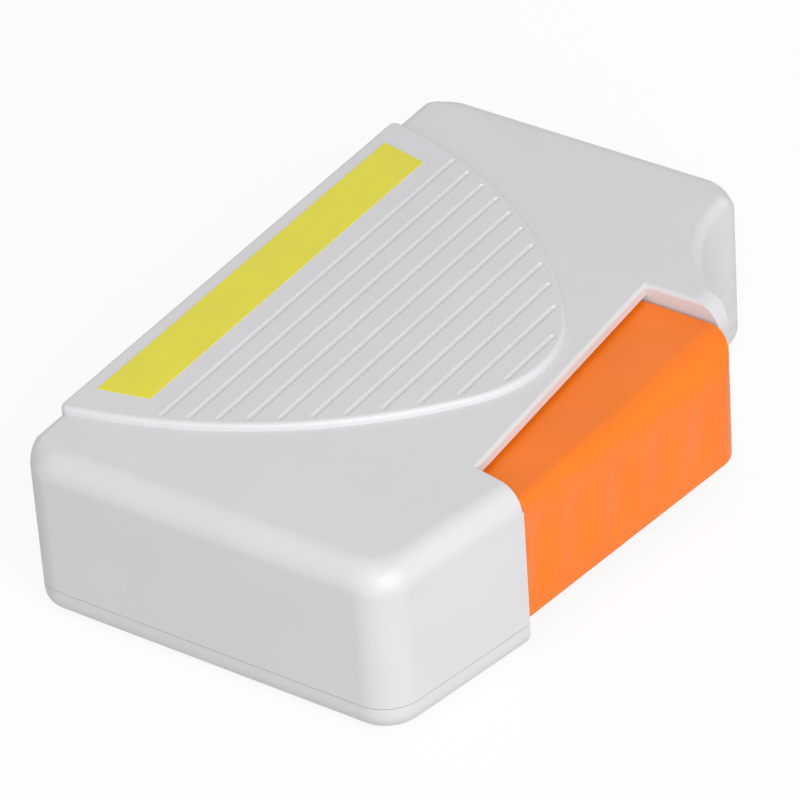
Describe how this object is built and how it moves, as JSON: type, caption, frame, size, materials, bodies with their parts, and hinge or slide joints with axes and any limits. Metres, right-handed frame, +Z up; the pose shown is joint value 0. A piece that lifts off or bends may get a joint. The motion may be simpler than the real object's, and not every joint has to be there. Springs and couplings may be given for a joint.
{
  "type": "fibre connector cleaning box",
  "caption": "Hand-held reel cleaner for fibre connectors: white case with a grooved panel, a side squeeze lever that feeds cleaning tape, and shuttered cleaning slots.",
  "frame": {"origin": "middle of the outline seen from above, on the surface that the case lies on", "axes": "+X along the case to its far end, past the free end of the lever; +Y to the long side with the cleaning slots and the label; +Z up through the grooved panel"},
  "size_m": [0.12, 0.08, 0.0321],
  "materials": {
    "shell_white": "fine satin moulded finish",
    "label_yellow": "plain coated label",
    "screw_steel": "zinc plated",
    "lever_orange": "satin moulded finish",
    "pin_steel": "ground",
    "spring_steel": "plain spring steel",
    "gear_natural": "natural acetal",
    "reel_black": "moulded",
    "tape_blue": "densely woven microfibre",
    "pad_rubber": "smooth",
    "shutter_grey": "moulded"
  },
  "bodies": {
    "case": {"lower_shell": "shell_white", "upper_shell": "shell_white", "label": "label_yellow", "case_screws": "screw_steel", "lever_pivot_pin": "pin_steel", "pad_holder": "reel_black", "near_pad": "pad_rubber", "far_pad": "pad_rubber", "tape_run": "tape_blue", "supply_brake_spring": "spring_steel", "takeup_brake_spring": "spring_steel", "lever_return_spring": "spring_steel"},
    "squeeze_lever": {"lever": "lever_orange"},
    "drive": {"drive_gear": "gear_natural", "ratchet_disc": "gear_natural"},
    "takeup": {"takeup_reel": "reel_black", "takeup_roll": "tape_blue"},
    "supply": {"supply_reel": "reel_black", "supply_roll": "tape_blue"},
    "supply_roller": {"supply_guide_roller": "gear_natural"},
    "takeup_roller": {"takeup_guide_roller": "gear_natural"},
    "slot_shutter": {"shutter": "shutter_grey"},
    "bell_crank": {"shutter_link": "gear_natural"}
  },
  "joints": [
    {"name": "lever_press", "type": "hinge", "parent": "case", "child": "squeeze_lever", "pos_m": [-0.034, -0.0285, 0], "axis": [0, 0, 1], "range_deg": [0, 6], "stiffness_Nm_per_rad": 2.5, "springref_deg": -8.59, "deforming": ["lever_return_spring"]},
    {"name": "drive_spin", "type": "hinge", "parent": "case", "child": "drive", "pos_m": [0.028, 0.008, 0], "axis": [0, 0, 1], "range_deg": [-50, 2]},
    {"name": "takeup_spin", "type": "hinge", "parent": "case", "child": "takeup", "pos_m": [0.028, 0.008, 0], "axis": [0, 0, 1], "range_deg": [-50, 2]},
    {"name": "supply_spin", "type": "hinge", "parent": "case", "child": "supply", "pos_m": [-0.03, 0.007, 0], "axis": [0, 0, 1], "range_deg": [-28, 1]},
    {"name": "supply_roller_spin", "type": "hinge", "parent": "case", "child": "supply_roller", "pos_m": [-0.03, 0.0315, 0], "axis": [0, 0, 1], "range_deg": [-165, 5]},
    {"name": "takeup_roller_spin", "type": "hinge", "parent": "case", "child": "takeup_roller", "pos_m": [0.03, 0.0315, 0], "axis": [0, 0, 1], "range_deg": [-165, 5]},
    {"name": "link_swing", "type": "hinge", "parent": "case", "child": "bell_crank", "pos_m": [0.002, 0.0043, 0], "axis": [0, 0, 1], "range_deg": [-30.6, 0]},
    {"name": "shutter_slide", "type": "slide", "parent": "case", "child": "slot_shutter", "axis": [1, 0, 0], "range_m": [0, 0.0145]}
  ],
  "couplings": [
    {"joint": "drive_spin", "follows": "lever_press", "ratio": -8},
    {"joint": "takeup_spin", "follows": "lever_press", "ratio": -8},
    {"joint": "supply_spin", "follows": "lever_press", "ratio": -4.4444},
    {"joint": "supply_roller_spin", "follows": "lever_press", "ratio": -26.667},
    {"joint": "takeup_roller_spin", "follows": "lever_press", "ratio": -26.667},
    {"joint": "link_swing", "follows": "lever_press", "ratio": -5.0877},
    {"joint": "shutter_slide", "follows": "lever_press", "m_per_rad": 0.13826}
  ]
}
